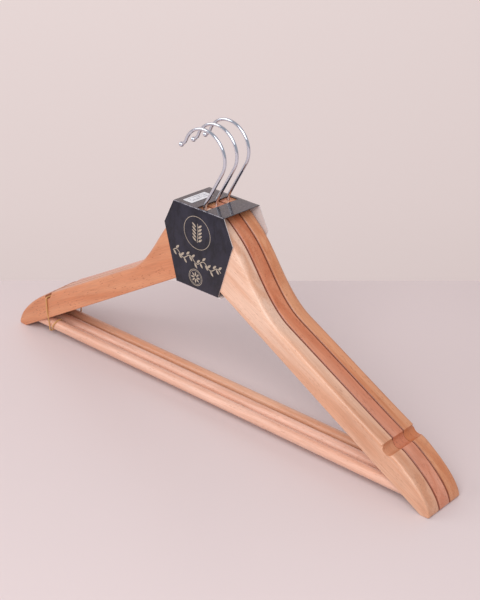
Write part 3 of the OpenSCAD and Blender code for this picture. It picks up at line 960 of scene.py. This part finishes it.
def wire_hook(name, node, sizes):
    """A hook: riveted end, shank, bent stem, round, turned tip and ball, drawn out as one wire"""
    low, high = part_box(node)
    y = (low.y + high.y) / 2
    wire_r = sizes.wire / 2
    round_r = high.x - wire_r - sizes.shift
    centre = Vector((sizes.shift, y, high.z - wire_r - round_r))
    lean, end = sizes.lean, sizes.round_end
    start = centre + round_r * Vector((math.cos(lean), 0, -math.sin(lean)))
    upwards = Vector((math.sin(lean), 0, math.cos(lean)))
    lean_foot = start - upwards * (start.x / upwards.x)
    stem_top = lean_foot.z - sizes.stem_bend * math.tan(lean / 2)
    bend_top = Vector((sizes.stem_bend * (1 - math.cos(lean)), y,
                       stem_top + sizes.stem_bend * math.sin(lean)))
    outwards = Vector((math.cos(end), 0, math.sin(end)))
    round_end = centre + round_r * outwards
    tip_centre = round_end + sizes.tip_bend * outwards
    tip_angle = end + math.pi - sizes.tip_turn
    tip_end = tip_centre + sizes.tip_bend * Vector((math.cos(tip_angle), 0, math.sin(tip_angle)))
    tip_way = Vector((math.sin(tip_angle), 0, -math.cos(tip_angle)))

    bpy.ops.object.select_all(action="DESELECT")
    bpy.ops.mesh.primitive_circle_add(vertices=WIRE_SIDES, radius=sizes.rivet / 2, 
                                      fill_type="NGON", location=(0, y, low.z))
    piece = name_new(name)
    bake_place(piece)
    edit(piece)
    pick(piece, "edges", lambda edge: True)
    up = Vector((0, 0, 1))
    draw_out(up, sizes.rivet_t)
    draw_out(up, 0)
    narrow((0, y, low.z + sizes.rivet_t), wire_r / (sizes.rivet / 2))
    draw_out(up, stem_top - low.z - sizes.rivet_t)
    bend((sizes.stem_bend, y, stem_top), lean, STEM_STEPS)
    draw_out(upwards, (start - bend_top).length)
    bend(centre, -(lean + end), ROUND_STEPS)
    bend(tip_centre, sizes.tip_turn, TIP_STEPS)
    ball_r = sizes.ball / 2
    reach = math.sqrt(ball_r ** 2 - wire_r ** 2)
    draw_out(tip_way, sizes.tip_straight - reach)
    ball = tip_end + tip_way * sizes.tip_straight
    along, radius = -reach, wire_r
    first = math.acos(reach / ball_r)
    for step in range(1, BALL_STEPS + 1):
        angle = first + (math.pi - first) * step / (BALL_STEPS + 0.5)
        new_along, new_radius = -ball_r * math.cos(angle), ball_r * math.sin(angle)
        draw_out(tip_way, new_along - along)
        narrow(ball + tip_way * new_along, new_radius / radius)
        along, radius = new_along, new_radius
    bpy.ops.mesh.edge_face_add()
    leave_edit()
    face_out(piece)
    smooth(piece, 30)
    return piece


class HANGERS_OT_hooks(bpy.types.Operator):
    """Draw one wire hook and copy it to each hanger"""

    bl_idname = "hangers.hooks"
    bl_label = "Wire Hooks"

    def execute(self, context):
        sizes = context.scene.hanger_set.hook
        chrome = plated("Chrome", (0.66, 0.69, 0.76), 1200, 0.04, 0.10)
        first = wire_hook("front_hook_chrome", "front_hook", sizes)
        dress(first, chrome)
        hooks = [first]
        for hanger in HANGERS[1:]:
            shift = Vector((0, hanger_y(hanger) - hanger_y("front"), 0))
            hooks.append(copy_of(first, f"{hanger}_hook_chrome", shift))
        for hanger, piece in zip(HANGERS, hooks):
            settle(piece, f"{hanger}_hook_wire", "chrome_wire", f"{hanger}_hook")
        return {"FINISHED"}


# ---------------------------------------------------------------- card sleeve

def sleeve_outline(card):
    """Half widths and heights of the sleeve's front panel: top, widest and bottom"""
    mid_half = (CARD_HIGH.x - CARD_LOW.x) / 2
    return ((card.top_half, CARD_HIGH.z), (mid_half, CARD_HIGH.z - card.mid_drop),
            (card.low_half, CARD_LOW.z))


def fold_down(drop, shift):
    """Extrudes the selected edge down and sideways"""
    pull((shift, 0, -drop))


def widen(from_half, to_half, centre):
    """Scales the selected edge in width"""
    bpy.ops.transform.resize(value=(to_half / from_half, 1, 1), center_override=tuple(centre))


def folded_sleeve(card):
    """The sleeve as a sheet folded round the necks, its thickness to be given inwards afterwards
    """
    (top_half, top_z), (mid_half, mid_z), (low_half, low_z) = sleeve_outline(card)
    y_out = CARD_HIGH.y
    mid_x, low_x = (CARD_HIGH.x + CARD_LOW.x) / 2, -card.lean
    back_top = top_z - card.slope_drop
    bpy.ops.object.select_all(action="DESELECT")
    bpy.ops.mesh.primitive_plane_add(size=2, location=(0, 0, top_z))
    piece = name_new("card_sleeve_print")
    piece.scale = (top_half, y_out, 1)
    bake_place(piece)
    edit(piece)
    pick(piece, "edges", lambda edge: all(vert.co.y > 0 for vert in edge.verts))
    bpy.ops.transform.translate(value=(0, 0, -card.slope_drop))
    slot_x = (card.slot_shift - card.slot_w / 2, card.slot_shift + card.slot_w / 2)
    back_hook = hanger_y("back")
    wire_r = bpy.context.scene.hanger_set.hook.wire / 2
    slot_y = (-y_out + card.slot_edge, back_hook + wire_r + card.slot_over)
    for x in slot_x:
        bpy.ops.mesh.select_all(action="SELECT")
        bpy.ops.mesh.bisect(plane_co=(x, 0, 0), plane_no=(1, 0, 0))
    for y in slot_y:
        bpy.ops.mesh.select_all(action="SELECT")
        bpy.ops.mesh.bisect(plane_co=(0, y, 0), plane_no=(0, 1, 0))
    pick(piece, "faces", lambda face: slot_x[0] < face.calc_center_median().x < slot_x[1]
         and slot_y[0] < face.calc_center_median().y < slot_y[1])
    bpy.ops.mesh.delete(type="FACE")
    for side, fold_z in ((-1, top_z), (1, back_top)):
        pick(piece, "edges", lambda edge: all(
            abs(vert.co.y - side * y_out) < 0.01 * MM for vert in edge.verts))
        fold_down(fold_z - mid_z, mid_x)
        widen(top_half, mid_half, (mid_x, side * y_out, mid_z))
        fold_down(mid_z - low_z, low_x - mid_x)
        widen(mid_half, low_half, (low_x, side * y_out, low_z))
    pick(piece, "edges", lambda edge: all(abs(vert.co.z - low_z) < 0.01 * MM
                                          for vert in edge.verts))
    bpy.ops.mesh.bridge_edge_loops()
    for side in (-1, 1):
        pick(piece, "edges", lambda edge: all(
            abs(vert.co.z - low_z) < 0.01 * MM
            and abs(vert.co.x - low_x - side * low_half) < 0.01 * MM
            for vert in edge.verts))
        pull((side * (card.floor_half - low_half), 0, 0))
    leave_edit()
    face_out(piece)
    return piece


class HANGERS_OT_sleeve(bpy.types.Operator):
    """Fold the printed card sleeve round the necks"""

    bl_idname = "hangers.sleeve"
    bl_label = "Card Sleeve"

    def execute(self, context):
        card = context.scene.hanger_set.card
        piece = folded_sleeve(card)
        dress(piece, printed_card("Navy print", card.ink), raw_card("Card core", card.core),
              printed_card("Worn fold", card.ink, worn=0.75),
              printed_card("Glossy top print", card.ink, gloss=0.85))
        for face in piece.data.polygons:
            if face.normal.z > 0.9:
                face.material_index = 3
        finish_with(piece, "BEVEL", width=card.fold, segments=3, limit_method="ANGLE",
                    angle_limit=math.radians(40), material=2)
        finish_with(piece, "SOLIDIFY", thickness=card.thickness, offset=-1,
                    material_offset=1, material_offset_rim=1, use_even_offset=True)
        smooth(piece, 40)
        settle(piece, SET_BODY, "navy_card", "card_sleeve")
        return {"FINISHED"}


# ---------------------------------------------------------------- print on the sleeve

def raise_mark(piece, foil_t):
    """In edit mode, gives a flat mark the foil's thickness"""
    bpy.ops.mesh.select_all(action="SELECT")
    pull((0, -foil_t, 0))
    leave_edit()
    face_out(piece)
    return piece


def flat_ring(name, centre, radius, width, foil_t):
    """A thin flat ring standing on the front panel"""
    bpy.ops.object.select_all(action="DESELECT")
    bpy.ops.mesh.primitive_circle_add(vertices=72, radius=radius, fill_type="NGON",
                                      location=centre, rotation=(math.pi / 2, 0, 0))
    piece = name_new(name)
    bake_place(piece)
    edit(piece)
    pick(piece, "faces", lambda face: True)
    bpy.ops.mesh.inset(thickness=width)
    bpy.ops.mesh.delete(type="FACE")
    return raise_mark(piece, foil_t)


def flat_leaf(name, centre, size, width, turn, foil_t):
    """A thin pointed leaf lying on the front panel, turned in its plane"""
    bpy.ops.object.select_all(action="DESELECT")
    bpy.ops.mesh.primitive_circle_add(vertices=16, radius=1, fill_type="NGON",
                                      location=(0, 0, 0), rotation=(math.pi / 2, 0, 0))
    piece = name_new(name)
    bake_place(piece)
    for vert in piece.data.vertices:
        taper = 1 - vert.co.x ** 2
        vert.co = Vector((vert.co.x * size / 2, 0, math.copysign(taper, vert.co.z) * width / 2))
    piece.data.transform(Matrix.Translation(centre) @ Matrix.Rotation(-turn, 4, "Y"))
    edit(piece)
    bpy.ops.mesh.select_all(action="SELECT")
    bpy.ops.mesh.remove_doubles(threshold=0.01 * MM)
    return raise_mark(piece, foil_t)


def flat_line(name, points, width, foil_t):
    """A thin flat line through points on the front panel"""
    bpy.ops.object.select_all(action="DESELECT")
    bpy.ops.mesh.primitive_plane_add(size=1, location=points[0])
    piece = name_new(name)
    piece.scale = (width, width, 1)
    bake_place(piece)
    edit(piece)
    shape = bmesh.from_edit_mesh(piece.data)
    shape.clear()
    sides = []
    for index, point in enumerate(points):
        before, after = points[max(0, index - 1)], points[min(len(points) - 1, index + 1)]
        way = (after - before).normalized()
        across = Vector((-way.z, 0, way.x)) * width / 2
        sides.append([shape.verts.new(point + across), shape.verts.new(point - across)])
    for (a, b), (c, d) in zip(sides, sides[1:]):
        shape.faces.new((a, b, d, c))
    bmesh.update_edit_mesh(piece.data)
    return raise_mark(piece, foil_t)


class HANGERS_OT_print(bpy.types.Operator):
    """Print a ring with a sprig, a vine and a small rosette on the front panel"""

    bl_idname = "hangers.print"
    bl_label = "Gold Print"

    def execute(self, context):
        card = context.scene.hanger_set.card
        foil = foil_print("Pale gold print", card.foil)
        face_y = CARD_LOW.y
        top = CARD_HIGH.z

        def spot(x, drop):
            return Vector((x * MM, face_y, top - drop * MM))

        ring_at = spot(-1.8, 20.5)
        marks = [flat_ring("emblem_ring", ring_at, 13.7 * MM, 0.42 * MM, card.foil_t)]
        stalk = [ring_at + Vector((math.sin(t * 2.2) * 0.9, 0, -8 + 16 * t)) * MM
                 for t in [i / 12 for i in range(13)]]
        marks.append(flat_line("sprig_stalk", stalk, 0.5 * MM, card.foil_t))
        for row in range(5):
            for side in (-1, 1):
                at = ring_at + Vector((side * 3.0, 0, -5.5 + row * 2.9)) * MM
                marks.append(flat_leaf("sprig_leaf", at, 5.2 * MM, 1.7 * MM,
                                       side * math.radians(38), card.foil_t))
        tilt = math.radians(-4.8)
        vine_at = spot(-2.8, 44.6)
        vine_half = 25.0

        def along_vine(t):
            x = (2 * t - 1) * vine_half
            z = 2.2 * math.sin(t * 7 * math.pi)
            return vine_at + Vector((x * math.cos(tilt) - z * math.sin(tilt), 0,
                                     x * math.sin(tilt) + z * math.cos(tilt))) * MM

        marks.append(flat_line("vine_stem", [along_vine(i / 84) for i in range(85)],
                               0.7 * MM, card.foil_t))
        for leaf in range(18):
            t = (leaf + 0.5) / 18
            side = 1 if leaf % 2 else -1
            at = along_vine(t) + Vector((0.5, 0, side * 2.4)) * MM
            marks.append(flat_leaf("vine_leaf", at, 4.8 * MM, 1.9 * MM,
                                   tilt + side * math.radians(48), card.foil_t))
        stamp_at = spot(-4.4, 58.8)
        marks.append(flat_ring("rosette_rim", stamp_at, 7.0 * MM, 0.4 * MM, card.foil_t))
        marks.append(flat_ring("rosette_inner", stamp_at, 5.9 * MM, 0.3 * MM, card.foil_t))
        for petal in range(8):
            turn = petal * math.pi / 4
            at = stamp_at + Vector((math.cos(turn), 0, math.sin(turn))) * 2.9 * MM
            marks.append(flat_leaf("rosette_petal", at, 3.9 * MM, 1.4 * MM, turn, card.foil_t))
        piece = join("card_gold_print", marks)
        dress(piece, foil)
        settle(piece, SET_BODY, "navy_card")
        return {"FINISHED"}


# ---------------------------------------------------------------- label and elastic

class HANGERS_OT_label(bpy.types.Operator):
    """Lay the paper label on the sleeve's top"""

    bl_idname = "hangers.label"
    bl_label = "Paper Label"

    def execute(self, context):
        card = context.scene.hanger_set.card
        low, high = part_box("price_label")
        centre, size = (low + high) / 2, high - low
        slope = math.atan2(card.slope_drop, 2 * CARD_HIGH.y)
        bpy.ops.object.select_all(action="DESELECT")
        bpy.ops.mesh.primitive_plane_add(size=1, location=centre, rotation=(-slope, 0, 0))
        piece = name_new("price_label_paper")
        piece.scale = (size.x, size.y / math.cos(slope), 1)
        bake_place(piece)
        edit(piece)
        bpy.ops.mesh.select_all(action="SELECT")
        bpy.ops.mesh.bevel(offset=0.8 * MM, segments=4, affect="VERTICES")
        leave_edit()
        finish_with(piece, "SOLIDIFY", thickness=0.12 * MM, offset=0)
        face_out(piece)
        smooth(piece, 40)
        dress(piece, label_paper("Label paper", card.paper, centre, size))
        settle(piece, SET_BODY, "label_paper", "price_label")
        return {"FINISHED"}


CORD_KINK = 1.4 * MM
CORD_STRAIGHT_FROM = 26 * MM
SMALL_TURN_STEPS = 32
CORNER_STEPS = 6


def rounded_loop(corners, reaches):
    """Points of a closed loop with its corners rounded, each over its own reach"""
    points = []
    for index, (corner, radius) in enumerate(zip(corners, reaches)):
        before = corners[index - 1] - corner
        after = corners[(index + 1) % len(corners)] - corner
        reach = min(radius, before.length * 0.45, after.length * 0.45)
        start = corner + before.normalized() * reach
        end = corner + after.normalized() * reach
        for step in range(CORNER_STEPS + 1):
            t = step / CORNER_STEPS
            points.append((1 - t) ** 2 * start + 2 * t * (1 - t) * corner + t ** 2 * end)
    return points


def cord_loop(name, points, radius):
    """A closed round cord along points"""
    curve = bpy.data.curves.new(name, "CURVE")
    curve.dimensions = "3D"
    curve.bevel_depth = radius
    curve.bevel_resolution = 3
    spline = curve.splines.new("POLY")
    spline.points.add(len(points) - 1)
    for place_point, point in zip(spline.points, points):
        place_point.co = (*point, 1)
    spline.use_cyclic_u = True
    select_only(add_object(name, curve))
    bpy.ops.object.convert(target="MESH")
    return bpy.context.object


class HANGERS_OT_elastic(bpy.types.Operator):
    """Stretch the elastic through the left notches and round the bars"""

    bl_idname = "hangers.elastic"
    bl_label = "Elastic Cord"

    def execute(self, context):
        sizes = context.scene.hanger_set.elastic
        low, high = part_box("elastic_band")
        r = sizes.diameter / 2
        x = low.x + r
        front_z, back_z = (middle_of(f"{hanger}_trouser_bar").z for hanger in ("front", "back"))
        bar_low, bar_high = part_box("middle_trouser_bar")
        wrap = (bar_high.z - bar_low.z) / 2 + sizes.clearance + r
        bar_y = hanger_y("back") + wrap
        face_y = high.y - r
        top_z = high.z - r
        long_turn = [Vector((x, y, z)) for y, z in (
            (-bar_y, front_z - wrap), (-bar_y, front_z + 1 * MM), (-face_y, CORD_STRAIGHT_FROM),
            (-face_y, top_z), (face_y, top_z), (face_y, CORD_STRAIGHT_FROM),
            (bar_y, back_z + 1 * MM),
            (bar_y, back_z - wrap))]
        reaches = [wrap * 0.9, wrap * 0.5, *[CORD_KINK] * 4, wrap * 0.5, wrap * 0.9]
        small_turn = []
        for step in range(SMALL_TURN_STEPS):
            angle = 2 * math.pi * step / SMALL_TURN_STEPS
            drift = sizes.spread * (1 - math.cos(angle)) / 2
            small_turn.append(Vector((
                x + sizes.diameter + sizes.clearance + drift,
                hanger_y("front") - wrap * math.sin(angle), front_z - wrap * math.cos(angle))))
        turns = [cord_loop("elastic_long", rounded_loop(long_turn, reaches), r),
                 cord_loop("elastic_small", small_turn, r)]
        piece = join("elastic_cord", turns)
        face_out(piece)
        smooth(piece, 60)
        dress(piece, elastic_cover("Amber elastic", sizes.amber))
        settle(piece, SET_BODY, "amber_elastic", "elastic_band")
        return {"FINISHED"}


# ---------------------------------------------------------------- stage

CAMERA_AT = Vector((0.7130, -0.7652, 0.6477))
CAMERA_DOWN = math.radians(28.9)
CAMERA_TURN = math.radians(41.41)
CAMERA_LENS, CAMERA_SHIFT = 90.67, (-0.024, 0.042)
TABLE_EDGE, TABLE_DEPTH, TABLE_WIDTH = 0.214, 3.0, 6
WALL_AT, WALL_SIZE = 1.6, (9, 8, 1)
KEY_AT, KEY_SIZE = (0.75, -1.2, 1.3), 1.3
FILL_AT, FILL_SIZE = (-1.3, -1.0, 1.0), 1.2
LIGHT_AIM = Vector((0, 0, 0.1))
SKY, SKY_STRENGTH = (0.90, 0.93, 1.0, 1.0), 0.48


def soft_light(name, power, size, at):
    """A square soft light aimed at the set's middle"""
    light = bpy.data.lights.new(name, "AREA")
    light.energy = power
    light.size = size
    holder = add_object(name, light)
    holder.location = at
    holder.rotation_euler = (LIGHT_AIM - Vector(at)).to_track_quat("-Z", "Y").to_euler()


class HANGERS_OT_stage(bpy.types.Operator):
    """Set the table, the backdrop, the soft lights and the camera"""

    bl_idname = "hangers.stage"
    bl_label = "Stage"

    def execute(self, context):
        stage = context.scene.hanger_set.stage
        forward = Vector((-math.sin(CAMERA_TURN), math.cos(CAMERA_TURN), 0))
        bpy.ops.object.select_all(action="DESELECT")
        bpy.ops.mesh.primitive_plane_add(
            size=1, location=forward * (TABLE_EDGE - TABLE_DEPTH / 2),
            rotation=(0, 0, CAMERA_TURN))
        table = name_new("table_top")
        table.scale = (TABLE_WIDTH, TABLE_DEPTH, 1)
        bake_place(table)
        dress(table, stage_surface("Table", stage.floor, 0.38, 0.35))
        bpy.ops.object.select_all(action="DESELECT")
        bpy.ops.mesh.primitive_plane_add(
            size=1, location=forward * WALL_AT, rotation=(math.pi / 2, 0, CAMERA_TURN))
        wall = name_new("backdrop")
        wall.scale = WALL_SIZE
        bake_place(wall)
        dress(wall, stage_surface("Backdrop", stage.backdrop, 0.9, 0.1, stage.glow))

        soft_light("key_light", stage.key_power, KEY_SIZE, KEY_AT)
        soft_light("fill_light", stage.fill_power, FILL_SIZE, FILL_AT)

        world = bpy.data.worlds.new("Studio")
        context.scene.world = world
        world.use_nodes = True
        background = world.node_tree.nodes["Background"]
        background.inputs["Color"].default_value = SKY
        background.inputs["Strength"].default_value = SKY_STRENGTH

        camera = bpy.data.cameras.new("studio_camera")
        holder = add_object("studio_camera", camera)
        holder.location = CAMERA_AT
        holder.rotation_euler = (math.pi / 2 - CAMERA_DOWN, 0, CAMERA_TURN)
        camera.lens = CAMERA_LENS
        camera.shift_x, camera.shift_y = CAMERA_SHIFT
        camera.clip_end = 50
        context.scene.camera = holder
        context.scene.view_settings.view_transform = "Standard"
        return {"FINISHED"}


# ---------------------------------------------------------------- add-on

OPERATORS = (
    HANGERS_OT_stage,
    HANGERS_OT_arms,
    HANGERS_OT_bars,
    HANGERS_OT_hardware,
    HANGERS_OT_hooks,
    HANGERS_OT_sleeve,
    HANGERS_OT_print,
    HANGERS_OT_label,
    HANGERS_OT_elastic,
)


class HANGERS_PT_panel(bpy.types.Panel):
    """Panel that lists the set's pieces"""

    bl_label = "Wooden Hanger Set"
    bl_idname = "HANGERS_PT_panel"
    bl_space_type = "VIEW_3D"
    bl_region_type = "UI"
    bl_category = "Hangers"

    def draw(self, context):
        for operator in OPERATORS:
            self.layout.operator(operator.bl_idname)


CLASSES = (WoodSettings, HookSettings, CardSettings, ElasticSettings, StageSettings,
           HangerSettings, *OPERATORS, HANGERS_PT_panel)


def register():
    """Registers every class and the settings"""
    for item in CLASSES:
        bpy.utils.register_class(item)
    bpy.types.Scene.hanger_set = PointerProperty(type=HangerSettings)


def unregister():
    """Takes them away again"""
    del bpy.types.Scene.hanger_set
    for item in reversed(CLASSES):
        bpy.utils.unregister_class(item)


def main():
    """Builds the whole set"""
    register()
    for operator in OPERATORS:
        group, name = operator.bl_idname.split(".")
        getattr(getattr(bpy.ops, group), name)()


if __name__ == "__main__":
    main()
